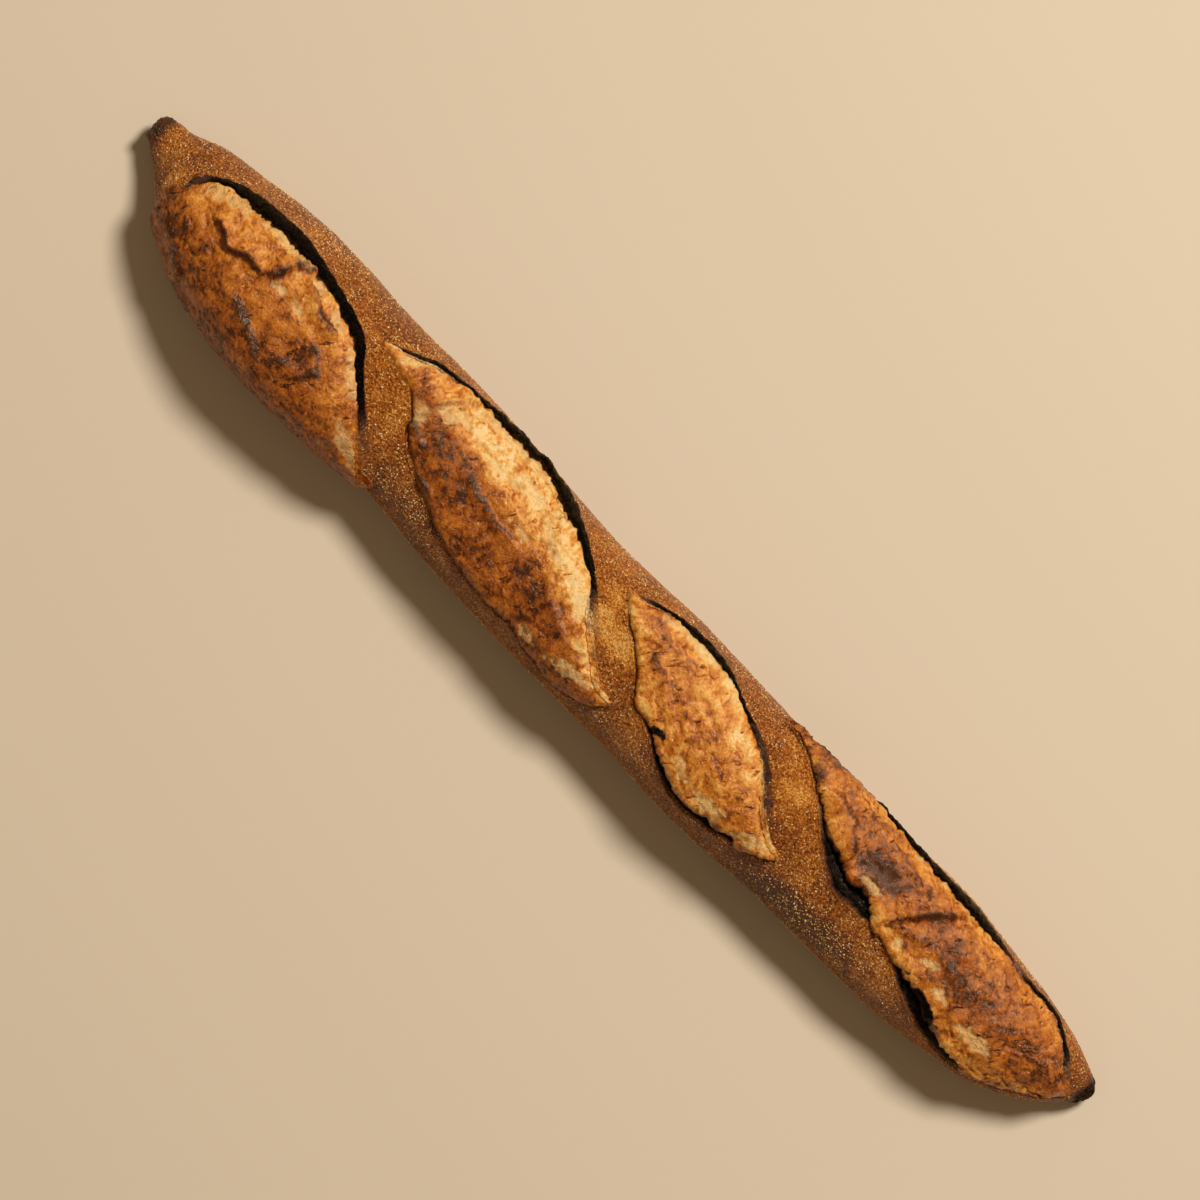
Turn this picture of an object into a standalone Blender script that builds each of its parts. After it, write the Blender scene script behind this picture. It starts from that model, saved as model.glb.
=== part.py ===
"""A baguette: one solid loaf, scored with four slanting cuts that have opened, each under a lifted ear of crust.

The loaf's skin is a sphere primitive whose poles become the two tips. Its rings stand across the loaf, and every
point of a ring is placed on the plain loaf's section there, then moved by the cuts that cross that section.
Sizes are in metres. While it is shaped, X runs from the left tip to the right tip, and Y runs across, from the
line between the tips. The finished loaf is centred on X and Y, and its flat underside is at Z = 0.
"""

import math

import bmesh
import bpy
import numpy as np

NAME = "baguette"

# The plain loaf
LENGTH = 0.560
LOAF_SIDES = (  # place along X, left side, right side, seen from above
    (0.0000, -0.0050, 0.0037),
    (0.0124, -0.0149, 0.0054),
    (0.0269, -0.0269, 0.0114),
    (0.0456, -0.0360, 0.0147),
    (0.0663, -0.0435, 0.0182),
    (0.0994, -0.0497, 0.0201),
    (0.1326, -0.0489, 0.0191),
    (0.1657, -0.0441, 0.0198),
    (0.2030, -0.0468, 0.0190),
    (0.2569, -0.0481, 0.0164),
    (0.3149, -0.0464, 0.0190),
    (0.3563, -0.0476, 0.0182),
    (0.3978, -0.0439, 0.0190),
    (0.4350, -0.0427, 0.0194),
    (0.4640, -0.0418, 0.0206),
    (0.4972, -0.0377, 0.0174),
    (0.5220, -0.0319, 0.0145),
    (0.5427, -0.0207, 0.0099),
    (0.5600, -0.0041, 0.0033),
)
TIP_ROUNDING = 0.0040  # length over which each tip closes
SHARE_OF_WIDTH = 0.66  # thickness of the loaf, as a share of its width
SHARE_AT_TIP = 0.95
TIP_WIDTH = 0.018  # widths near this one have a thickness between the two shares
BELLY = 0.42  # height of the widest place, as a share of the thickness
SINK = 1.10  # how deep the round underside would reach, as a share of the belly's height, were it not flat
SQUARENESS_BELOW = 2.4  # exponents of the section's curve, where 2 is an ellipse
SQUARENESS_ABOVE = 2.1
LEFT_TIP_RISE, RIGHT_TIP_RISE = 0.0055, 0.0045  # how far the tips' undersides are off the table
TIP_RISE_LENGTH = 0.035

# The ear's section, as seen along it: how far out along the plain skin a point starts, from the ear's free edge
# towards the opening, then how far out it ends, and what it is raised by. Starts and ends are shares of EAR_REACH,
# and ends near the free edge are shares of the overhang too. Heights are shares of the lift, the flap's thickness
# and the cut's depth.
EAR_REACH = 0.010
FLAP_THICKNESS = 0.0016
STEEP_LIFTS = (0.2, 0.75)  # shares of the lift between which the ear's face steepens from a soft crease
OPEN_WIDTH = 0.016  # a cut narrower than this has all its section drawn in with it
RIM_WIDTH = 0.0025  # the raised rim on the cut's other side
RIM_GROOVE = 0.0030

# The skin's mesh
RINGS = 112
ROWS = 42
TIP_CROWDING = 0.18  # share by which the rings stand closer near the tips
EAR_CROWDING = 2.2  # how much closer the rows run beside an ear
EAR_CROWD_REACH = 0.0075
UNDERSIDE_SPARSENESS = 0.45  # how far apart they run below, as a share of their number above
SECTION_STEPS = 480

CRUST_COLOUR = (0.42, 0.16, 0.035, 1.0)
CRUST_ROUGHNESS = 0.62

# Each cut's ear line and lip line run from one end of its opening to the other, seen from above: (along, across).
# lifted is the stretch along X where the ear stands at its full lift, and past it the lift fades to the cut's end.
CUTS = (
    {
        "ear": (
            (0.0240, -0.0124), (0.0273, -0.0083), (0.0331, -0.0017), (0.0414, 0.0037), (0.0518, 0.0070),
            (0.0663, 0.0087), (0.0829, 0.0087), (0.0994, 0.0062), (0.1160, 0.0021), (0.1284, -0.0033),
            (0.1367, -0.0116), (0.1471, -0.0207), (0.1595, -0.0298), (0.1728, -0.0410),
        ),
        "lip": (
            (0.0240, -0.0128), (0.0255, -0.0230), (0.0290, -0.0330), (0.0370, -0.0450), (0.0580, -0.0580),
            (0.0829, -0.0620), (0.1160, -0.0620), (0.1367, -0.0547), (0.1550, -0.0480), (0.1728, -0.0418),
        ),
        "lifted": (0.040, 0.122),
        "lift": 0.0034,
        "overhang": 0.0020,
        "depth": 0.0042,
        "bulge": 0.0035,
        "rim": 0.0,
    },
    {
        "ear": (
            (0.1309, 0.0033), (0.1429, 0.0083), (0.1533, 0.0128), (0.1657, 0.0149), (0.1823, 0.0166),
            (0.2030, 0.0174), (0.2196, 0.0166), (0.2362, 0.0128), (0.2486, 0.0070), (0.2631, -0.0012),
            (0.2776, -0.0124), (0.2921, -0.0228), (0.3058, -0.0319),
        ),
        "lip": (
            (0.1309, 0.0025), (0.1450, 0.0000), (0.1566, -0.0037), (0.1624, -0.0083), (0.1678, -0.0157),
            (0.1782, -0.0224), (0.1947, -0.0298), (0.2154, -0.0365), (0.2362, -0.0389), (0.2527, -0.0385),
            (0.2693, -0.0418), (0.2859, -0.0418), (0.2983, -0.0373), (0.3058, -0.0323),
        ),
        "lifted": (0.165, 0.252),
        "lift": 0.0034,
        "overhang": 0.0020,
        "depth": 0.0040,
        "bulge": 0.0034,
        "rim": 0.0004,
    },
    {
        "ear": (
            (0.2747, 0.0058), (0.2859, 0.0095), (0.3025, 0.0128), (0.3190, 0.0137), (0.3315, 0.0116),
            (0.3439, 0.0070), (0.3563, 0.0033), (0.3667, -0.0017), (0.3791, -0.0116), (0.3915, -0.0215),
            (0.3994, -0.0257),
        ),
        "lip": (
            (0.2747, 0.0050), (0.2859, -0.0033), (0.2962, -0.0099), (0.3045, -0.0174), (0.3100, -0.0232),
            (0.3211, -0.0265), (0.3315, -0.0323), (0.3418, -0.0373), (0.3563, -0.0389), (0.3708, -0.0365),
            (0.3853, -0.0327), (0.3994, -0.0265),
        ),
        "lifted": (0.292, 0.338),
        "lift": 0.0028,
        "overhang": 0.0018,
        "depth": 0.0036,
        "bulge": 0.0030,
        "rim": 0.0012,
    },
    {
        "ear": (
            (0.3588, 0.0166), (0.3729, 0.0178), (0.3977, 0.0195), (0.4350, 0.0199), (0.4599, 0.0191),
            (0.4848, 0.0166), (0.5096, 0.0133), (0.5262, 0.0116), (0.5365, 0.0062), (0.5448, 0.0008),
            (0.5523, -0.0058),
        ),
        "lip": (
            (0.3588, 0.0157), (0.3708, 0.0141), (0.3832, 0.0083), (0.3928, 0.0017), (0.3998, -0.0033),
            (0.4102, -0.0112), (0.4226, -0.0166), (0.4392, -0.0170), (0.4516, -0.0182), (0.4640, -0.0228),
            (0.4806, -0.0290), (0.4972, -0.0319), (0.5138, -0.0311), (0.5262, -0.0265), (0.5386, -0.0191),
            (0.5469, -0.0133), (0.5523, -0.0066),
        ),
        "lifted": (0.400, 0.495),
        "lift": 0.0026,
        "overhang": 0.0014,
        "depth": 0.0034,
        "bulge": 0.0032,
        "rim": 0.0014,
    },
)


def curve(points, places):
    """Reads a smooth curve through points, each (place, value), at the places asked for."""
    at, value = np.array(points).T
    slope = np.gradient(value, at)
    left = np.clip(np.searchsorted(at, places) - 1, 0, len(at) - 2)
    width = at[left + 1] - at[left]
    t = np.clip((places - at[left]) / width, 0, 1)
    from_left = value[left] * (1 + 2 * t) * (1 - t) ** 2 + slope[left] * width * t * (1 - t) ** 2
    from_right = value[left + 1] * t * t * (3 - 2 * t) - slope[left + 1] * width * t * t * (1 - t)
    return from_left + from_right


def ramp(value, low, high):
    """0 below low and 1 above high, with a smooth rise between."""
    t = np.clip((value - low) / (high - low), 0, 1)
    return t * t * (3 - 2 * t)


def power(value, exponent):
    return np.sign(value) * np.abs(value) ** exponent


def tip_closing(x):
    """Share of the width that is left near a tip's round end."""
    share = np.clip(min(x, LENGTH - x) / TIP_ROUNDING, 0, 1)
    return math.sqrt(1 - (1 - share) ** 2)


def plain_section(x):
    """The uncut loaf's section at x as a table: place along the skin, across, up, and the outward direction."""
    left = curve([(along, low) for along, low, _ in LOAF_SIDES], x)
    right = curve([(along, high) for along, _, high in LOAF_SIDES], x)
    width = (right - left) * tip_closing(x)
    full_width = right - left
    share = SHARE_OF_WIDTH + (SHARE_AT_TIP - SHARE_OF_WIDTH) * math.exp(-full_width / TIP_WIDTH)
    thickness = width * share
    rise = LEFT_TIP_RISE * (1 - ramp(x, 0, TIP_RISE_LENGTH))
    rise += RIGHT_TIP_RISE * ramp(x, LENGTH - TIP_RISE_LENGTH, LENGTH)
    rise += (full_width - width) * share * BELLY

    turn = np.linspace(0, 2 * math.pi, SECTION_STEPS + 1)
    below = np.cos(turn) > 0
    exponent = 2 / np.where(below, SQUARENESS_BELOW, SQUARENESS_ABOVE)
    across = (left + right) / 2 + width / 2 * power(np.sin(turn), exponent)
    reach = thickness * np.where(below, BELLY * SINK, 1 - BELLY)
    up = rise + np.maximum(thickness * BELLY - reach * power(np.cos(turn), exponent), 0)

    along = np.concatenate([[0], np.cumsum(np.hypot(np.diff(across), np.diff(up)))])
    step = max(along[-1], 1e-9) / SECTION_STEPS
    even = np.linspace(0, along[-1], SECTION_STEPS + 1)
    across, up = np.interp(even, along, across), np.interp(even, along, up)
    out_across = np.gradient(up, step)
    out_up = -np.gradient(across, step)
    size = np.maximum(np.hypot(out_across, out_up), 1e-9)
    return {"place": even, "across": across, "up": up, "out": (out_across / size, out_up / size)}


def place_from_above(section, across):
    """The place along the skin of the point seen from above at across. Past the loaf's left side it runs on down."""
    right_side, left_side = np.argmax(section["across"]), np.argmin(section["across"])
    top = slice(right_side, left_side + 1)
    place = np.interp(-across, -section["across"][top], section["place"][top])
    return place + max(section["across"][left_side] - across, 0)


def ear_section(cut, lift, start):
    """Where skin that starts at start from the ear's free edge ends, and what it is raised by."""
    overhang = cut["overhang"] * lift
    height = cut["lift"] * lift
    depth = cut["depth"] * (0.2 + 0.8 * lift)
    flap = FLAP_THICKNESS
    points = (
        (-1.00, -EAR_REACH, 0),
        (-0.60, -0.59 * EAR_REACH, 0.12 * height),
        (-0.30, -0.30 * EAR_REACH + 0.35 * overhang, 0.45 * height),
        (-0.10, -0.10 * EAR_REACH + 0.80 * overhang, 0.85 * height),
        (0.00, overhang, height),
        (0.05, overhang + 0.02 * EAR_REACH, height - 0.6 * flap),
        (0.10, 0.8 * overhang, height - flap - 0.15 * depth),
        (0.18, 0.1 * overhang, -0.35 * depth),
        (0.26, 0.0, -0.85 * depth),
        (0.36, 0.13 * EAR_REACH, -depth),
        (0.60, 0.52 * EAR_REACH, -0.55 * depth),
        (1.00, EAR_REACH, 0),
    )
    ends = curve([(at, end) for at, end, _ in points], start / EAR_REACH)
    heights = curve([(at, raised) for at, _, raised in points], start / EAR_REACH)
    ends = start + (ends - start) * ramp(lift, *STEEP_LIFTS)
    within = np.abs(start) < EAR_REACH
    return np.where(within, ends, start), np.where(within, heights, 0)


def cut_at(cut, x, section):
    """What a cut measures where the section at x crosses it, or None past its ends."""
    begin, end = cut["ear"][0][0], cut["ear"][-1][0]
    if not begin < x < end:
        return None
    ear = place_from_above(section, curve(cut["ear"], x))
    lip = place_from_above(section, curve(cut["lip"], x))
    ahead, behind = min(x + 0.001, end), max(x - 0.001, begin)
    slope = (curve(cut["ear"], ahead) - curve(cut["ear"], behind)) / (ahead - behind)
    lifted = ramp(x, begin, cut["lifted"][0]) * (1 - 0.85 * ramp(x, cut["lifted"][1], end))
    return {
        "cut": cut,
        "ear": ear,
        "width": max(lip - ear, 1e-5),
        "square": 1 / math.hypot(1, slope),  # turns a length across the loaf into one square to the ear
        "scale": float(np.clip((lip - ear) / OPEN_WIDTH, 0.02, 1)),
        "lifted": lifted,
        "fade": ramp(x, begin, begin + 0.010) * (1 - ramp(x, end - 0.015, end)),
    }


def move_by_cut(found, place):
    """How far a cut moves the skin at place, along the skin and outwards, and how far a bulge raises it."""
    cut, scale = found["cut"], found["scale"]
    start = (place - found["ear"]) * found["square"] / scale
    end, raised = ear_section(cut, found["lifted"], start)
    aside = (end - start) * scale / found["square"] * found["fade"]
    raised = raised * scale * found["fade"]
    share = np.clip((place - found["ear"]) / found["width"], 0, 1)
    bulge = cut["bulge"] * scale * found["fade"] * np.sin(math.pi * share**0.9) ** 1.2
    from_lip = place - found["ear"] - found["width"]
    rim = cut["rim"] * scale * found["fade"]
    bulge = bulge + rim * np.exp(-((from_lip / RIM_WIDTH) ** 2))
    bulge = bulge - rim * np.exp(-(((from_lip + RIM_GROOVE) / RIM_GROOVE) ** 2)) * 1.6
    return aside, raised, bulge


def spread_rows(section, cuts, rows):
    """Places for the rows round a section, closer together beside the ears and further apart below."""
    place = section["place"]
    density = np.where(section["out"][1] < -0.5, UNDERSIDE_SPARSENESS, 1.0)
    for found in cuts:
        near = ((place - found["ear"]) * found["square"] / EAR_CROWD_REACH) ** 2
        density = density + EAR_CROWDING * found["fade"] * np.exp(-near)
    total = np.concatenate([[0], np.cumsum((density[1:] + density[:-1]) / 2)])
    return np.interp(np.arange(rows) / rows * total[-1], total, place)


def ring(x, rows):
    """The skin's points at x, from the middle of the underside up the right side, over the top and down the left."""
    section = plain_section(x)
    cuts = [found for found in (cut_at(cut, x, section) for cut in CUTS) if found]
    place = spread_rows(section, cuts, rows)
    out_up = np.interp(place, section["place"], section["out"][1])
    out_across = np.interp(place, section["place"], section["out"][0])
    aside, raised, bulge = np.zeros(rows), np.zeros(rows), np.zeros(rows)
    for found in cuts:
        moved = move_by_cut(found, place)
        aside, raised, bulge = aside + moved[0], raised + moved[1], bulge + moved[2]
    raised = raised + bulge * np.clip(out_up, 0, 1)
    across = np.interp(place + aside, section["place"], section["across"]) + raised * out_across
    up = np.interp(place + aside, section["place"], section["up"]) + raised * out_up
    return np.stack([np.full(rows, x), across, up], 1)


def ring_places(count):
    """Places along X of the rings between the tips."""
    t = np.arange(1, count + 1) / (count + 1)
    return LENGTH * ((1 - TIP_CROWDING) * t + TIP_CROWDING * (1 - np.cos(math.pi * t)) / 2)


def tip_point(x):
    section = plain_section(x)
    return (x, float(section["across"].mean()), float(section["up"].mean()))


def build_loaf(collection):
    """A sphere primitive with a pole for each tip, every vertex of which is moved to its place on the loaf."""
    skin = bmesh.new()
    bmesh.ops.create_uvsphere(skin, u_segments=ROWS, v_segments=RINGS + 1, radius=1)
    rings = [ring(x, ROWS) for x in ring_places(RINGS)]
    for vertex in skin.verts:
        level = round(math.acos(max(-1.0, min(1.0, vertex.co.z))) / math.pi * (RINGS + 1))
        row = round(math.atan2(vertex.co.y, vertex.co.x) / (2 * math.pi) * ROWS) % ROWS
        if level == 0:
            vertex.co = tip_point(0)
        elif level == RINGS + 1:
            vertex.co = tip_point(LENGTH)
        else:
            vertex.co = rings[level - 1][row]
    bmesh.ops.recalc_face_normals(skin, faces=skin.faces)
    if skin.calc_volume(signed=True) < 0:
        bmesh.ops.reverse_faces(skin, faces=skin.faces)

    places = np.array([vertex.co for vertex in skin.verts])
    low, high = places.min(0), places.max(0)
    bmesh.ops.translate(skin, verts=skin.verts, vec=(-(low[0] + high[0]) / 2, -(low[1] + high[1]) / 2, -low[2]))
    bmesh.ops.triangulate(skin, faces=skin.faces)
    mesh = bpy.data.meshes.new(NAME)
    skin.to_mesh(mesh)
    skin.free()
    mesh.shade_smooth()
    loaf = bpy.data.objects.new(NAME, mesh)
    collection.objects.link(loaf)
    return loaf


def crust_material():
    material = bpy.data.materials.new("crust")
    material.use_nodes = True
    shader = material.node_tree.nodes["Principled BSDF"]
    shader.inputs["Base Color"].default_value = CRUST_COLOUR
    shader.inputs["Roughness"].default_value = CRUST_ROUGHNESS
    shader.inputs["Metallic"].default_value = 0.0
    return material


def main():
    for old in list(bpy.data.objects):
        bpy.data.objects.remove(old, do_unlink=True)
    collection = bpy.data.collections.new(NAME)
    bpy.context.scene.collection.children.link(collection)
    loaf = build_loaf(collection)
    loaf.data.materials.append(crust_material())


main()
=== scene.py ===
"""The looks of a baguette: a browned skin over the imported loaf, with blackened ears, torn crumb and semolina.

The skin is a closed sheet of rings, each standing across the loaf. A ring starts as the plain loaf's section
there and is moved by the cuts that cross it. While it is shaped, X runs from the left tip to the right tip
and Y runs across from the line between the tips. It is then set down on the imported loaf's own box, and drawn
in a little where it stands highest and widest, to stay inside that box. Sizes are in metres.
"""

import math

import bpy
import numpy as np
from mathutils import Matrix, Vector, noise


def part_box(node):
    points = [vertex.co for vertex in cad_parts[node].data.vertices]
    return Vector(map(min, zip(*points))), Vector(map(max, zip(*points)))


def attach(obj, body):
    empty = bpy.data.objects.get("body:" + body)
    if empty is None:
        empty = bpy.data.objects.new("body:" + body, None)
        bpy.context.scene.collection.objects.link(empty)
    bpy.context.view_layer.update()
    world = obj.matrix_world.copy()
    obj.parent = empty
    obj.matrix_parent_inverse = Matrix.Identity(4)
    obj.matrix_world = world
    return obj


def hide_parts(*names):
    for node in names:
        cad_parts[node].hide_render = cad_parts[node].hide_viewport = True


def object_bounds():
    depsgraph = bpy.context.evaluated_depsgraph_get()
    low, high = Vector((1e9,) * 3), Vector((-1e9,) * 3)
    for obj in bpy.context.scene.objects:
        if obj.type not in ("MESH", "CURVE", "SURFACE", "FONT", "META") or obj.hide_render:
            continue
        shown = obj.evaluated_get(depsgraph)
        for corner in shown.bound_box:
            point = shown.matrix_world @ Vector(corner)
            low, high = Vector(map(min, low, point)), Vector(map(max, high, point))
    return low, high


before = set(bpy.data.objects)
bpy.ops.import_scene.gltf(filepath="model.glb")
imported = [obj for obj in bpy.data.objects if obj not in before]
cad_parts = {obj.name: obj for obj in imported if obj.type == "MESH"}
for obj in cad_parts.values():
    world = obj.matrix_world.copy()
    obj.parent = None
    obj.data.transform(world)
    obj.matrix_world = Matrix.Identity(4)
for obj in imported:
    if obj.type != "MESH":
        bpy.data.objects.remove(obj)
cad_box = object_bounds()

SEED = 7

# The plain loaf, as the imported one
LENGTH = 0.56
LOAF_SIDES = (  # place along X, left side, right side, seen from above
    (0.0, -0.006, 0.0037), (0.0124, -0.0149, 0.0054), (0.0269, -0.0269, 0.0114), (0.0456, -0.036, 0.0147),
    (0.0663, -0.0435, 0.0182), (0.0994, -0.0497, 0.0201), (0.1326, -0.0489, 0.0191),
    (0.1657, -0.0441, 0.0198), (0.203, -0.0468, 0.019), (0.2569, -0.0481, 0.0164), (0.3149, -0.0464, 0.019),
    (0.3563, -0.0476, 0.0182), (0.3978, -0.0439, 0.019), (0.435, -0.0427, 0.0194), (0.464, -0.0418, 0.0206),
    (0.4972, -0.0377, 0.0174), (0.522, -0.0319, 0.0145), (0.5427, -0.0207, 0.0099), (0.56, -0.0041, 0.0033),
)
TIP_ROUNDING = 0.004
SHARE_OF_WIDTH, SHARE_AT_TIP, TIP_WIDTH = 0.66, 0.95, 0.018
BELLY = 0.42
SINK = 1.1
SQUARENESS_BELOW, SQUARENESS_ABOVE = 2.4, 2.1
LEFT_TIP_RISE, RIGHT_TIP_RISE, TIP_RISE_LENGTH = 0.0055, 0.0045, 0.035

RINGS, ROWS = 640, 155
TIP_CROWDING, TIP_REACH = 8, 0.003  # how much denser the rings are at the tips, and how far in
SIDE_EASING = (0.044, 0.012)  # where the left side starts to be drawn in, and the most it can pass that by
TOP_EASING = (0.036, 0.035)
WIDEST_AT = (0.0829, 0.0994, 0.1326, 0.464)
SECTION_STEPS = 480
RING_SEARCH_STEPS = 8000

BREAD_STEP = 0.0004
BREAD_POINTS = 95000  # the most in one sheet
NARROWEST_BREAD = 0.0022
FLAP_FOOT = 0.0052  # from the ear line to where the risen bread comes out
FULL_LIFT = 0.0016
SKIN_UNDER_BREAD = 0.0011
BREAD_PAST_LIP = 0.002
LOWEST_BREAD = 0.0005

STREAK_TURN, STREAK_STRETCH = 55, 0.5  # degrees from X, and how drawn out the torn bread's noise is
UV_MARGIN = 0.005
GRAINS, SMALLEST_GRAIN, LARGEST_GRAIN = 24000, 0.00045, 0.00105
FLOOR_GAP = 0.0001

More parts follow.
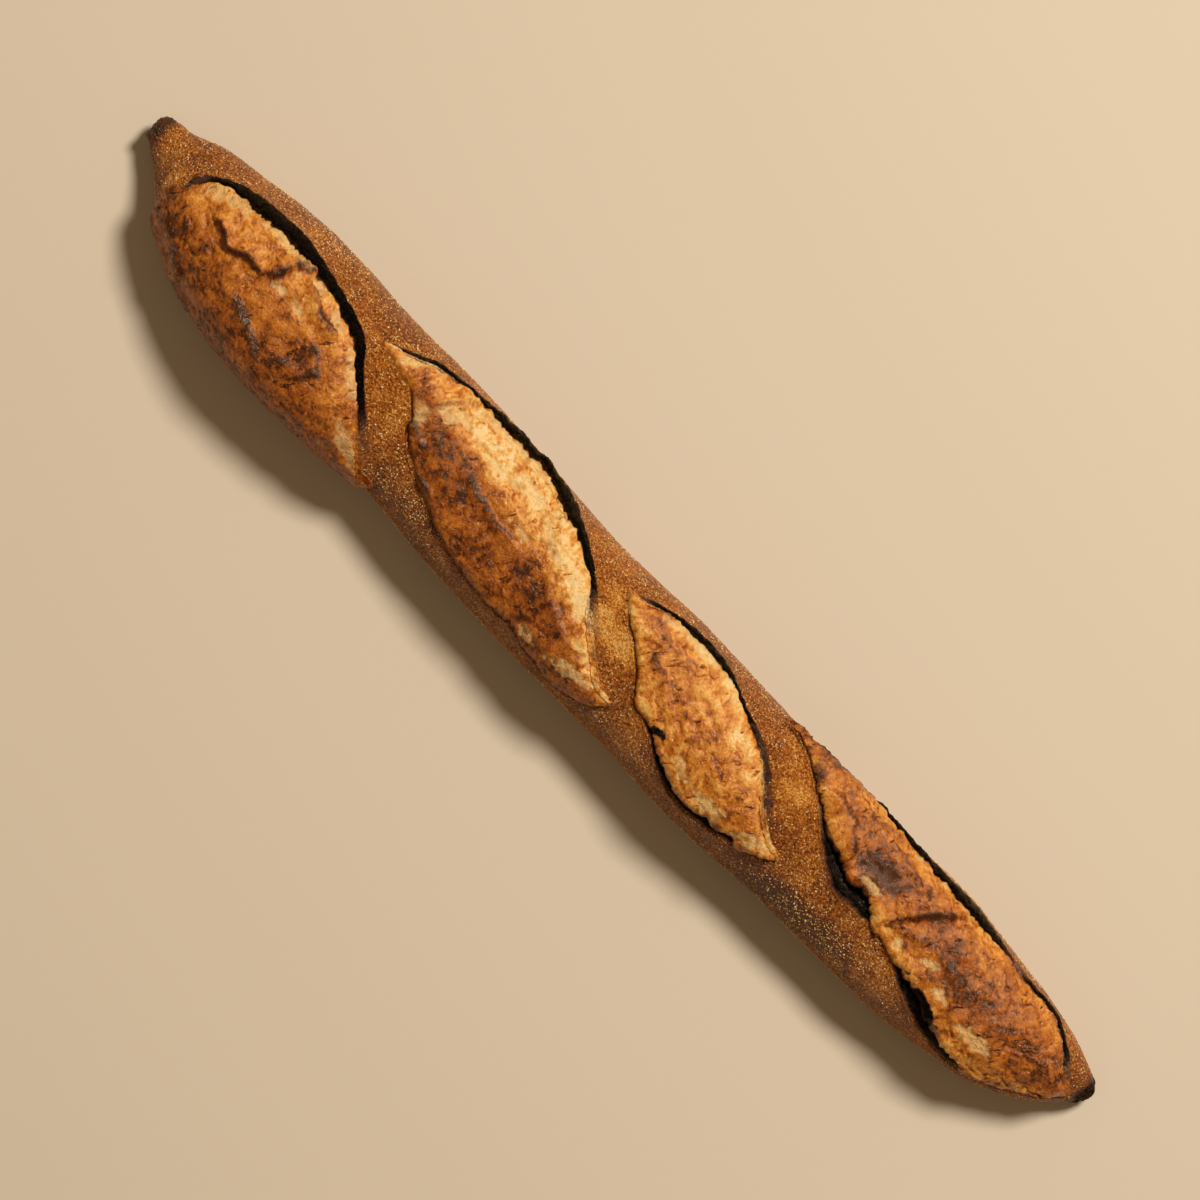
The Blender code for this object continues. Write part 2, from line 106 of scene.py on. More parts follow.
# Each cut. The ear line is where the blackened flap starts to rise from the smooth crust, and the lip line is
# the far side of the opening. flap: along X, the flap's width, its lift and how burnt it is. groove: along X,
# the width of the dark groove beside the lip, and how dark it is painted: burnt crust and painted shadow.
# toast: how brown the risen bread is, from the ear (0) to the lip (1). bulge: how far the risen bread
# swells out.
CUTS = (
    {
        "ear": (
            (0.024, -0.0124), (0.0273, -0.0083), (0.0331, -0.0017), (0.0414, 0.0037), (0.0518, 0.007),
            (0.0663, 0.0087), (0.0829, 0.0087), (0.0994, 0.0062), (0.116, 0.0021), (0.1284, -0.0033),
            (0.1367, -0.0116), (0.1471, -0.0207), (0.1595, -0.0298), (0.1728, -0.041),
        ),
        "lip": (
            (0.024, -0.0128), (0.0255, -0.023), (0.029, -0.033), (0.037, -0.045), (0.058, -0.058),
            (0.0829, -0.062), (0.116, -0.062), (0.1367, -0.0547), (0.155, -0.048), (0.1728, -0.0418),
        ),
        "flap": (
            (0.024, 0.0006, 0.0003, 0.0), (0.028, 0.0022, 0.0008, 0.1), (0.03, 0.003, 0.0011, 0.42),
            (0.034, 0.0026, 0.0013, 0.5), (0.0356, 0.0018, 0.0015, 1.0), (0.043, 0.0032, 0.0026, 1.0),
            (0.058, 0.0052, 0.0034, 1.0), (0.075, 0.005, 0.0035, 1.0), (0.095, 0.0044, 0.0034, 1.0),
            (0.116, 0.0042, 0.0032, 1.0), (0.13, 0.0036, 0.0028, 1.0), (0.143, 0.0024, 0.0018, 0.9),
            (0.153, 0.001, 0.001, 0.5), (0.1728, 0.0005, 0.0004, 0.2),
        ),
        "groove": ((0.024, 0.0, 0.0), (0.1728, 0.0, 0.0)),
        # Near the ear this toast is raised to darken the crumb: a painted shadow of the ear
        "toast": ((0.0, 0.42), (0.13, 0.43), (0.22, 0.58), (0.45, 0.74), (0.75, 0.76), (1.0, 0.68)),
        "bulge": 0.0035,
    },
    {
        "ear": (
            (0.1309, 0.0033), (0.1429, 0.0083), (0.1533, 0.0128), (0.1657, 0.0149), (0.1823, 0.0166),
            (0.203, 0.0174), (0.2196, 0.0166), (0.2362, 0.0128), (0.2486, 0.007), (0.2631, -0.0012),
            (0.2776, -0.0124), (0.2921, -0.0228), (0.3058, -0.0319),
        ),
        "lip": (
            (0.1309, 0.0025), (0.145, 0.0), (0.1566, -0.0037), (0.1624, -0.0083), (0.1678, -0.0157),
            (0.1782, -0.0224), (0.1947, -0.0298), (0.2154, -0.0365), (0.2362, -0.0389), (0.2527, -0.0385),
            (0.2693, -0.0418), (0.2859, -0.0418), (0.2983, -0.0373), (0.3058, -0.0323),
        ),
        "flap": (
            (0.1309, 0.0006, 0.0003, 0.4), (0.145, 0.0011, 0.0009, 0.8), (0.168, 0.0014, 0.0018, 0.9),
            (0.18, 0.0026, 0.0028, 1.0), (0.19, 0.0038, 0.0033, 1.0), (0.215, 0.0042, 0.0035, 1.0),
            (0.236, 0.0042, 0.0034, 1.0), (0.252, 0.0036, 0.003, 1.0), (0.264, 0.002, 0.0018, 0.8),
            (0.272, 0.001, 0.001, 0.4), (0.3058, 0.0006, 0.0005, 0.2),
        ),
        "groove": (
            (0.1309, 0.0, 0.0), (0.157, 0.0004, 0.2), (0.161, 0.0016, 0.62), (0.168, 0.0014, 0.58),
            (0.174, 0.0002, 0.1), (0.24, 0.0002, 0.1), (0.25, 0.0008, 0.35), (0.286, 0.001, 0.4),
            (0.3058, 0.0, 0.1),
        ),
        "toast": ((0.0, 0.2), (0.2, 0.24), (0.42, 0.4), (0.54, 0.74), (0.8, 0.83), (1.0, 0.74)),
        "bulge": 0.0034,
    },
    {
        "ear": (
            (0.2747, 0.0058), (0.2859, 0.0095), (0.3025, 0.0128), (0.319, 0.0137), (0.3315, 0.0116),
            (0.3439, 0.007), (0.3563, 0.0033), (0.3667, -0.0017), (0.3791, -0.0116), (0.3915, -0.0215),
            (0.3994, -0.0257),
        ),
        "lip": (
            (0.2747, 0.005), (0.2859, -0.0033), (0.2962, -0.0099), (0.3045, -0.0174), (0.31, -0.0232),
            (0.3211, -0.0265), (0.3315, -0.0323), (0.3418, -0.0373), (0.3563, -0.0389), (0.3708, -0.0365),
            (0.3853, -0.0327), (0.3994, -0.0265),
        ),
        "flap": (
            (0.2747, 0.0004, 0.0003, 0.2), (0.2859, 0.001, 0.001, 0.7), (0.296, 0.002, 0.0022, 1.0),
            (0.31, 0.0028, 0.003, 1.0), (0.326, 0.0026, 0.0028, 1.0), (0.34, 0.0018, 0.0022, 0.9),
            (0.352, 0.0014, 0.0016, 0.6), (0.375, 0.0012, 0.0013, 0.5), (0.3994, 0.0006, 0.0004, 0.2),
        ),
        "groove": (
            (0.2747, 0.0, 0.0), (0.285, 0.0007, 0.4), (0.31, 0.0008, 0.4), (0.319, 0.0012, 0.5),
            (0.323, 0.003, 1.0), (0.33, 0.003, 1.0), (0.34, 0.0046, 1.0), (0.368, 0.0046, 1.0),
            (0.38, 0.0026, 0.7), (0.39, 0.0008, 0.2), (0.3994, 0.0, 0.0),
        ),
        "toast": (
            (0.0, 0.1), (0.15, 0.14), (0.3, 0.48), (0.55, 0.57), (0.75, 0.52), (0.92, 0.5), (1.0, 0.66),
        ),
        "bulge": 0.003,
    },
    {
        "ear": (
            (0.3588, 0.0166), (0.3729, 0.0176), (0.3977, 0.0186), (0.435, 0.0182), (0.4599, 0.018),
            (0.4848, 0.016), (0.5096, 0.0133), (0.5262, 0.0113), (0.5365, 0.0062), (0.5448, 0.0008),
            (0.5523, -0.0058),
        ),
        "lip": (
            (0.3588, 0.0157), (0.3708, 0.0141), (0.3832, 0.0083), (0.3928, 0.0017), (0.3998, -0.0033),
            (0.4102, -0.0112), (0.4226, -0.0166), (0.4392, -0.017), (0.4516, -0.0182), (0.464, -0.0228),
            (0.4806, -0.029), (0.4972, -0.0319), (0.5138, -0.0311), (0.5262, -0.0265), (0.5386, -0.0191),
            (0.5469, -0.0133), (0.5523, -0.0066),
        ),
        "flap": (
            (0.3588, 0.0005, 0.0003, 0.2), (0.376, 0.0014, 0.0014, 1.0), (0.386, 0.0008, 0.001, 0.3),
            (0.402, 0.001, 0.0014, 0.5), (0.42, 0.0028, 0.0024, 1.0), (0.445, 0.0036, 0.0028, 1.0),
            (0.47, 0.0034, 0.0028, 1.0), (0.486, 0.0024, 0.0022, 0.9), (0.496, 0.001, 0.0014, 0.4),
            (0.51, 0.0016, 0.0016, 0.8), (0.523, 0.0022, 0.0018, 1.0), (0.5365, 0.0014, 0.0014, 0.9),
            (0.5523, 0.0005, 0.0003, 0.2),
        ),
        "groove": (
            (0.3588, 0.0, 0.0), (0.369, 0.0018, 0.42), (0.39, 0.0022, 0.48), (0.4, 0.0032, 0.7),
            (0.412, 0.0074, 1.0), (0.425, 0.0086, 1.0), (0.438, 0.0078, 1.0), (0.445, 0.0018, 0.5),
            (0.458, 0.001, 0.3), (0.465, 0.0044, 0.9), (0.478, 0.0076, 1.0), (0.496, 0.0078, 1.0),
            (0.508, 0.0054, 0.9), (0.523, 0.0024, 0.6), (0.536, 0.001, 0.3), (0.5523, 0.0, 0.0),
        ),
        "toast": (
            (0.0, 0.34), (0.12, 0.4), (0.25, 0.62), (0.55, 0.82), (0.72, 0.68), (0.86, 0.5), (1.0, 0.62),
        ),
        "bulge": 0.0034,
    },
)

# Windows of torn crumb in the risen bread: along, across, half length, half width, turn in degrees
WINDOWS = (
    (0.048, -0.002, 0.013, 0.0045, 20), (0.077, 0.002, 0.02, 0.0038, 0),
    (0.098, -0.001, 0.008, 0.0034, -20), (0.113, -0.005, 0.006, 0.0024, -30),
    (0.088, -0.012, 0.004, 0.0026, 0), (0.152, 0.011, 0.014, 0.0026, 14), (0.176, 0.004, 0.01, 0.005, 10),
    (0.19, 0.012, 0.012, 0.0026, 5), (0.219, 0.004, 0.014, 0.004, -8), (0.202, 0.001, 0.012, 0.0026, 0),
    (0.228, -0.01, 0.008, 0.0022, -10), (0.3, 0.009, 0.008, 0.0026, 14),
    (0.133, -0.015, 0.013, 0.0032, -42), (0.152, -0.036, 0.011, 0.0045, -25),
    (0.099, -0.013, 0.006, 0.0022, -10), (0.147, 0.006, 0.007, 0.0026, 20),
    (0.164, -0.006, 0.007, 0.0045, -30), (0.181, 0.01, 0.004, 0.0026, 0), (0.207, 0.012, 0.02, 0.0024, 0),
    (0.224, 0.004, 0.004, 0.0034, 0), (0.212, 0.002, 0.003, 0.0024, 0), (0.243, -0.005, 0.01, 0.0036, -22),
    (0.268, -0.016, 0.004, 0.003, -40), (0.26, -0.036, 0.006, 0.0026, -4), (0.283, -0.034, 0.013, 0.003, 8),
    (0.314, 0.009, 0.018, 0.0026, 0), (0.337, 0.006, 0.004, 0.0022, -20),
    (0.342, -0.028, 0.009, 0.0034, -24), (0.36, -0.031, 0.011, 0.004, 0), (0.386, -0.02, 0.007, 0.002, -42),
    (0.384, -0.028, 0.011, 0.003, 24), (0.453, 0.015, 0.002, 0.0018, 0), (0.468, 0.014, 0.008, 0.002, 0),
    (0.439, 0.0145, 0.003, 0.0012, 0), (0.431, -0.006, 0.008, 0.002, 0),
    (0.457, -0.014, 0.004, 0.0028, -20), (0.471, -0.011, 0.006, 0.003, 15),
    (0.483, -0.0165, 0.007, 0.003, -10), (0.506, -0.0195, 0.013, 0.0036, 4),
)

# Creases in the risen bread: the line along its floor, then its half width, its depth and how dark its
# floor is painted, as painted shade
CREASES = (
    (
        ((0.0932, 0.0035), (0.085, -0.005), (0.0787, -0.0124), (0.0621, -0.0149), (0.054, -0.0124)),
        0.0017, 0.0024, 1.0,
    ),
    (((0.0973, -0.0021), (0.1085, -0.0083), (0.116, -0.0091)), 0.0016, 0.002, 1.0),
    (((0.078, -0.027), (0.088, -0.03), (0.101, -0.037), (0.112, -0.029)), 0.0015, 0.0012, 0.7),
    (((0.114, -0.018), (0.124, -0.025), (0.12, -0.031)), 0.0018, 0.001, 0.6),
    (((0.056, -0.0215), (0.054, -0.027)), 0.0012, 0.0008, 0.5),
    (((0.0365, -0.026), (0.045, -0.03), (0.056, -0.039), (0.066, -0.044)), 0.0012, 0.0008, 0.4),
    (((0.14, -0.04), (0.15, -0.0335), (0.156, -0.029)), 0.001, 0.0009, 0.3),
    (((0.178, 0.011), (0.169, 0.004)), 0.0009, 0.001, 0.6),
    (((0.166, -0.01), (0.176, -0.014), (0.18, -0.008)), 0.001, 0.0012, 0.5),
    (((0.1968, -0.0091), (0.2071, -0.0116), (0.2258, -0.0145)), 0.0012, 0.0014, 0.8),
    (((0.178, -0.0225), (0.187, -0.0235)), 0.0013, 0.001, 0.8),
    (
        ((0.233, 0.004), (0.247, -0.006), (0.256, -0.019), (0.257, -0.03), (0.25, -0.036)),
        0.0013, 0.0014, 0.3,
    ),
    (((0.254, -0.018), (0.27, -0.025), (0.285, -0.03)), 0.0012, 0.0008, 0.4),
    (((0.302, -0.006), (0.311, -0.007)), 0.0016, 0.001, 0.7),
    (((0.338, -0.018), (0.348, -0.006)), 0.001, 0.0008, 0.5),
    (((0.38, -0.034), (0.39, -0.024)), 0.0012, 0.0012, 0.5),
    (((0.464, 0.0075), (0.453, -0.002), (0.4495, -0.0104)), 0.0016, 0.0018, 0.6),
    (((0.452, -0.008), (0.468, -0.004), (0.486, -0.006)), 0.0014, 0.0012, 0.6),
    (((0.395, 0.009), (0.408, 0.006), (0.416, -0.001)), 0.0012, 0.001, 0.5),
    (((0.41, 0.013), (0.43, 0.011), (0.444, 0.008)), 0.0012, 0.001, 0.4),
)

# Large soft swellings in the risen bread: along, across, half length, half width, turn in degrees and height
BLISTERS = (
    (0.428, -0.0005, 0.018, 0.01, 0, 0.002), (0.495, -0.004, 0.04, 0.015, -8, 0.001),
    (0.1, -0.023, 0.026, 0.012, -10, 0.0012), (0.062, -0.03, 0.022, 0.012, -25, 0.001),
    (0.225, -0.024, 0.034, 0.009, -4, 0.001), (0.278, -0.029, 0.018, 0.007, 0, 0.0014),
    (0.33, -0.008, 0.034, 0.011, -22, 0.0008), (0.208, 0.002, 0.026, 0.006, -6, 0.0006),
)

# Places charred beside the cuts: along, across, half length, half width, turn in degrees and amount
CHARRED = (
    (0.474, 0.02, 0.026, 0.0042, 0, 1.0), (0.43, 0.021, 0.02, 0.0026, 0, 0.7),
    (0.378, 0.02, 0.005, 0.002, 0, 0.8), (0.0318, -0.0048, 0.0062, 0.0026, 55, 0.6),
    (0.48, -0.0235, 0.017, 0.003, -12, 0.9), (0.385, 0.0105, 0.012, 0.0026, -48, 0.36),
    (0.325, -0.0255, 0.006, 0.002, 10, 0.75),
)

# Dents in the left tip's knob: along, across, reach and depth
TIP_NOTCHES = (
    (0.0024, -0.0066, 0.0014, 0.0016), (0.0075, -0.0128, 0.0022, 0.0006), (0.009, 0.0046, 0.0024, 0.0005),
)

# Places where the crust is painted darker (amount above 0) or lighter (below 0): its own browning, and also
# painted shade on the low side away from the lamp and painted light on raised bridges between the cuts.
# Each: along, across, half length, half width, amount
BROWNING_AND_PAINTED_LIGHT = (
    (0.02, -0.02, 0.024, 0.007, 0.2), (0.19, -0.033, 0.03, 0.008, 0.16), (0.425, -0.034, 0.04, 0.006, 0.22),
    (0.17, 0.013, 0.02, 0.004, 0.16), (0.545, -0.01, 0.014, 0.012, 0.2),
    (0.129, 0.003, 0.006, 0.003, -0.35), (0.0235, -0.014, 0.0032, 0.012, -0.5),
    (0.28, -0.011, 0.022, 0.008, -0.8), (0.262, 0.012, 0.02, 0.008, -0.1),
    (0.118, -0.025, 0.012, 0.007, 0.32), (0.082, -0.028, 0.008, 0.003, 0.25),
    (0.1, -0.034, 0.012, 0.005, 0.25), (0.428, 0.0, 0.019, 0.0095, 0.66), (0.386, 0.01, 0.014, 0.004, 0.12),
    (0.47, 0.001, 0.014, 0.005, 0.25), (0.24, -0.018, 0.016, 0.005, 0.18),
    (0.195, 0.004, 0.016, 0.007, -0.22), (0.225, 0.002, 0.014, 0.006, -0.16),
    (0.07, -0.005, 0.026, 0.005, -0.12), (0.33, -0.003, 0.016, 0.004, -0.1),
    (0.405, 0.0125, 0.026, 0.006, -0.35), (0.1575, -0.0165, 0.014, 0.006, -0.25),
    (0.148, 0.004, 0.018, 0.008, -0.35), (0.405, -0.038, 0.042, 0.01, 0.6),
    (0.266, -0.022, 0.018, 0.008, 0.5), (0.352, 0.001, 0.018, 0.006, 0.4),
    (0.366, 0.016, 0.012, 0.004, 0.45), (0.386, -0.018, 0.014, 0.006, 0.2),
    (0.124, 0.012, 0.018, 0.006, 0.16), (0.385, 0.0, 0.012, 0.006, -0.4), (0.5, -0.006, 0.026, 0.009, 0.2),
    (0.436, 0.012, 0.022, 0.004, -0.3), (0.146, -0.024, 0.01, 0.006, 0.18),
    (0.278, -0.001, 0.012, 0.006, -0.5),
)

# Where the semolina lies thickest: along, across, half length, half width
SEMOLINA_DRIFTS = (
    (0.03, -0.024, 0.026, 0.008), (0.195, -0.034, 0.026, 0.008), (0.425, -0.035, 0.04, 0.01),
    (0.535, -0.016, 0.018, 0.01), (0.08, 0.016, 0.05, 0.004), (0.14, 0.01, 0.016, 0.005),
    (0.015, -0.004, 0.012, 0.006),
)


def curve(points, places):
    """Reads a smooth curve through points, each (place, value), at the places asked for."""
    at, value = np.array(points).T
    slope = np.gradient(value, at)
    left = np.clip(np.searchsorted(at, places) - 1, 0, len(at) - 2)
    width = at[left + 1] - at[left]
    t = np.clip((places - at[left]) / width, 0, 1)
    from_left = value[left] * (1 + 2 * t) * (1 - t) ** 2 + slope[left] * width * t * (1 - t) ** 2
    from_right = value[left + 1] * t * t * (3 - 2 * t) - slope[left + 1] * width * t * t * (1 - t)
    return from_left + from_right


def line(points, places, column=1):
    """Reads one column's straight-sided line through points at the places asked for."""
    table = np.array(points)
    return np.interp(places, table[:, 0], table[:, column])


def ramp(value, low, high):
    """0 at low and 1 at high, with a smooth rise between."""
    t = np.clip((value - low) / (high - low), 0, 1)
    return t * t * (3 - 2 * t)


def between(value, low, high, fall, end):
    """0 up to low, 1 from high to fall, and 0 again past end, with smooth slopes."""
    return ramp(value, low, high) * (1 - ramp(value, fall, end))


def power(value, exponent):
    return np.sign(value) * np.abs(value) ** exponent


def grain(points, size, octaves=3, seed=0, rough=0.5):
    """Noise between about -1 and 1, with features of the size given, at each point."""
    shift = Vector((seed * 3.17 + SEED, seed * 1.73, seed * 2.39))
    fall = -math.log2(rough)
    return np.array([noise.fractal(Vector(p) / size + shift, fall, 2.0, octaves) for p in points])


def tip_closing(x):
    share = np.clip(min(x, LENGTH - x) / TIP_ROUNDING, 0, 1)
    return math.sqrt(1 - (1 - share) ** 2)


def plain_section(x):
    """The uncut loaf's section at x: place along the skin, across, up, and the outward direction."""
    left = curve([(along, low) for along, low, _ in LOAF_SIDES], x)
    right = curve([(along, high) for along, _, high in LOAF_SIDES], x)
    full_width = right - left
    width = full_width * tip_closing(x)
    share = SHARE_OF_WIDTH + (SHARE_AT_TIP - SHARE_OF_WIDTH) * math.exp(-full_width / TIP_WIDTH)
    thickness = width * share
    rise = LEFT_TIP_RISE * (1 - ramp(x, 0, TIP_RISE_LENGTH))
    rise += RIGHT_TIP_RISE * ramp(x, LENGTH - TIP_RISE_LENGTH, LENGTH)
    rise += (full_width - width) * share * BELLY

    turn = np.linspace(0, 2 * math.pi, SECTION_STEPS + 1)
    below = np.cos(turn) > 0
    exponent = 2 / np.where(below, SQUARENESS_BELOW, SQUARENESS_ABOVE)
    across = (left + right) / 2 + width / 2 * power(np.sin(turn), exponent)
    reach = thickness * np.where(below, BELLY * SINK, 1 - BELLY)
    up = rise + np.maximum(thickness * BELLY - reach * power(np.cos(turn), exponent), 0)

    along = np.concatenate([[0], np.cumsum(np.hypot(np.diff(across), np.diff(up)))])
    step = max(along[-1], 1e-9) / SECTION_STEPS
    even = np.linspace(0, along[-1], SECTION_STEPS + 1)
    across, up = np.interp(even, along, across), np.interp(even, along, up)
    out_across = np.gradient(up, step)
    out_up = -np.gradient(across, step)
    size = np.maximum(np.hypot(out_across, out_up), 1e-9)
    return {"place": even, "across": across, "up": up, "out": (out_across / size, out_up / size)}


def place_from_above(section, across):
    """The place along the skin of the point seen from above at across. Past the left side it runs on down."""
    right_side, left_side = np.argmax(section["across"]), np.argmin(section["across"])
    top = slice(right_side, left_side + 1)
    place = np.interp(-across, -section["across"][top], section["place"][top])
    return place + max(section["across"][left_side] - across, 0)


def wander(x, seed, size=0.004):
    """A small ragged wave along X, between about -1 and 1."""
    return noise.fractal(Vector((x / size, seed * 7.3 + SEED, 0.5)), 0.7, 2.0, 4)


def cut_at(number, x, section):
    """What a cut measures where the section at x crosses it, or None past its ends."""
    cut = CUTS[number]
    begin, end = cut["ear"][0][0], cut["ear"][-1][0]
    if not begin < x < end:
        return None
    ear = place_from_above(section, curve(cut["ear"], x) + 0.0004 * wander(x, number))
    lip = place_from_above(section, curve(cut["lip"], x) + 0.0006 * wander(x, number + 10, 0.009))
    ahead, behind = min(x + 0.001, end), max(x - 0.001, begin)
    slope = (curve(cut["ear"], ahead) - curve(cut["ear"], behind)) / (ahead - behind)
    lip_slope = (curve(cut["lip"], ahead) - curve(cut["lip"], behind)) / (ahead - behind)
    width = max(lip - ear, 1e-5)
    square = 1 / math.hypot(1, slope)
    facing = float(np.interp(ear, section["place"], section["out"][1]))
    band = line(cut["flap"], x, 1) * (1 + 0.3 * wander(x, number + 20, 0.004)) / max(facing, 0.55)
    return {
        "cut": cut,
        "ear": ear,
        "width": width,
        "square": square,
        "lip_square": 1 / math.hypot(1, min(abs(lip_slope), 1.2)),
        "scale": float(np.clip(width * square / 0.016, 0.02, 1)),
        "band": band,
        "lift": line(cut["flap"], x, 2) * (1 + 0.25 * wander(x, number + 30, 0.006)),
        "burn": line(cut["flap"], x, 3),
        "groove": line(cut["groove"], x, 1) * (1 + 0.34 * wander(x, number + 40, 0.005)),
        "groove_burn_and_shade": line(cut["groove"], x, 2),
        "fade": float(between(x, begin, begin + 0.006, end - 0.008, end)),
    }


def bread_start(found):
    """How far along the skin from the ear line a cut's risen bread comes out from under the flap."""
    return min(FLAP_FOOT * found["scale"] / found["square"], 0.3 * found["width"])


def flap_section(start, band, lift):
    """Where skin that starts at start from the ear line ends, and what it is raised by. The flap rises
    towards the opening, turns over at its free edge, and runs back underneath and down into the cut."""
    thick = 0.35 * lift + 0.0004
    depth = 0.0003 + 0.5 * lift
    steep = ramp(lift, 0.0008, 0.0022)
    reach = 0.012
    points = (
        (-reach, -reach, 0.0),
        (-0.006, -0.006, 0.08 * lift),
        (-0.0022, -0.0021, 0.34 * lift),
        (0.0, 0.0002, 0.62 * lift),
        (0.0012, 0.45 * band, 0.86 * lift),
        (0.0022, 0.85 * band, 1.0 * lift),
        (0.0026, 1.0 * band, 0.94 * lift),
        (0.003, 1.02 * band, lift - 0.5 * thick),
        (0.0034, 0.92 * band, lift - thick),
        (0.0041, 0.45 * band, lift - 1.3 * thick),
        (0.0048, 0.25 * band, -0.25 * depth),
        (0.0055, 0.4 * band, -0.8 * depth),
        (0.0064, 0.8 * band, -1.0 * depth),
        (0.0078, 1.0 * band + 0.0012, -0.8 * depth),
        (0.01, 0.01 + 0.2 * (band - 0.003), -0.35 * depth),
        (reach + 0.0015, reach + 0.0015, 0.0),
    )
    ends = curve([(at, end) for at, end, _ in points], start)
    heights = curve([(at, raised) for at, _, raised in points], start)
    ends = start + (ends - start) * steep
    within = (start > points[0][0]) & (start < points[-1][0])
    return np.where(within, ends, start), np.where(within, heights, 0)


def spread_rows(section, cuts):
    """Places for the rows round a section: close beside the ears and grooves, wide underneath."""
    place = section["place"]
    density = 0.3 + 0.7 * ramp(section["out"][1], -0.75, 0.25)
    for found in cuts:
        ear, lip = found["ear"], found["ear"] + found["width"]
        density = density + 0.25 * between(place, ear, ear + 0.002, lip, lip + 0.002) * found["fade"]
        near = (((place - ear) * found["square"] - 0.003) / 0.0034) ** 2
        density = density + 2.6 * found["fade"] * min(found["lift"] / FULL_LIFT, 1) * np.exp(-near)
        foot = lip - 0.7 * found["groove"] / found["lip_square"]
        near = ((place - foot) * found["lip_square"] / 0.0028) ** 2
        density = density + 1.2 * min(found["groove"] / 0.003, 1) * np.exp(-near)
    total = np.concatenate([[0], np.cumsum((density[1:] + density[:-1]) / 2)])
    return np.interp(np.arange(ROWS) / ROWS * total[-1], total, place)


def shape_ring(x, place=None):
    """One ring's points and what each of them is, from the middle of the underside up the right side and
    over, or only at the places along the skin that are given."""
    section = plain_section(x)
    cuts = [found for found in (cut_at(number, x, section) for number in range(len(CUTS))) if found]
    place = spread_rows(section, cuts) if place is None else place
    count = len(place)
    out_across = np.interp(place, section["place"], section["out"][0])
    out_up = np.interp(place, section["place"], section["out"][1])
    aside, raised = np.zeros(count), np.zeros(count)
    bread, burn, hidden, covered = np.zeros((4, count))
    toast = np.full(count, 0.7)
    for found in cuts:
        cut, scale, fade, band, groove = (found[key] for key in ("cut", "scale", "fade", "band", "groove"))
        width, square, lip_square = (found[key] for key in ("width", "square", "lip_square"))
        past_ear = place - found["ear"]
        from_ear = past_ear * square
        start = from_ear / scale
        end, up = flap_section(start, band, found["lift"])
        aside += (end - start) * scale / square * fade
        raised += up * scale * fade
        share = np.clip(past_ear / width, 0, 1)
        before_lip = (width - past_ear) * lip_square
        deep = min(groove / 0.006, 1.0)
        hump = np.sin(math.pi * (share * (1 - 0.2 * deep)) ** 0.75)
        wall = ramp(before_lip, 0.55 * groove, 1.05 * groove + 0.0003) if groove > 0.0003 else 1.0
        swell = cut["bulge"] * scale * fade * hump * wall
        trough = between(before_lip, -0.0008, 0.45 * groove, 0.65 * groove, 1.1 * groove + 0.0002)
        swell = swell - 0.42 * groove * trough * fade
        rim = 0.0011 * deep * np.exp(-(((before_lip + 0.0022) / 0.0022) ** 2)) * fade
        raised += (swell + rim) * np.clip(out_up + 0.15, 0, 1)

        edge = 0.0028 * scale
        inside = (from_ear > edge) & (before_lip > -0.004)
        soft = 0.001 + 0.002 * scale * (1 - deep)
        bread = np.maximum(bread, np.where(from_ear > edge, ramp(before_lip, -soft, soft), 0) * fade ** 0.3)
        narrow = 1 - ramp(width * square, 0.006, 0.018)
        closed = 0.3 * (1 - ramp(found["burn"], 0.3, 0.9)) * (1 - ramp(share, 0.08, 0.35))
        toast = np.where(inside, (curve(cut["toast"], share) + closed) * (1 - 0.25 * narrow), toast)
        flap = between(from_ear, -0.0009 * scale, 0.0003 * scale, 0.004 * scale, FLAP_FOOT * scale)
        burn = np.maximum(burn, flap * found["burn"] * min(band / 0.0012, 1))
        # The groove beside the lip is painted black: partly burnt crust, partly a painted shadow under the
        # bloom's rim
        soot_from = -0.0014 - 0.15 * groove
        soot_and_shade = between(before_lip, soot_from, 0.15 * groove, 0.8 * groove, groove + 0.0006)
        burn = np.maximum(burn, soot_and_shade * found["groove_burn_and_shade"] * (groove > 0.0003))
        halo = between(before_lip, -0.005, -0.0004, 0.0, groove)
        burn = np.maximum(burn, 0.36 * halo * found["groove_burn_and_shade"] * ramp(groove, 0.001, 0.004))
        lifted = min(found["lift"] / FULL_LIFT, 1)
        # Under each lifted flap the bread is darkened through burn: a painted shadow of the flap
        flap_shadow = between(start, 0.0026, 0.0034, 0.0056, 0.0075) * lifted * fade
        burn = np.maximum(burn, 0.42 * flap_shadow)
        hidden = np.maximum(hidden, between(start, 0.0, 0.001, 0.0062, 0.0085) * lifted * fade)
        within = np.minimum(past_ear - bread_start(found), width - past_ear) * min(square, lip_square)
        covered = np.maximum(covered, ramp(within, 0.0, 0.0018) * ramp(width, 0.0035, 0.006))
    across = np.interp(place + aside, section["place"], section["across"]) + raised * out_across
    up = np.interp(place + aside, section["place"], section["up"]) + raised * out_up
    points = np.stack([np.full(count, x), across, up], 1)
    round_share = place / section["place"][-1]
    return points, out_up, round_share, bread, burn, toast, hidden, covered


def joined(rings):
    """What shape_ring gives, with all the rings end to end."""
    return [np.concatenate(parts) for parts in zip(*rings)]


def from_above(points, along, across, half_length, half_width, turn=0.0):
    """1 in the middle of an ellipse seen from above, 0 at its edge, and negative outside."""
    angle = math.radians(turn)
    x, y = points[:, 0] - along, points[:, 1] - across
    u = (x * math.cos(angle) + y * math.sin(angle)) / half_length
    v = (-x * math.sin(angle) + y * math.cos(angle)) / half_width
    return 1 - np.hypot(u, v)


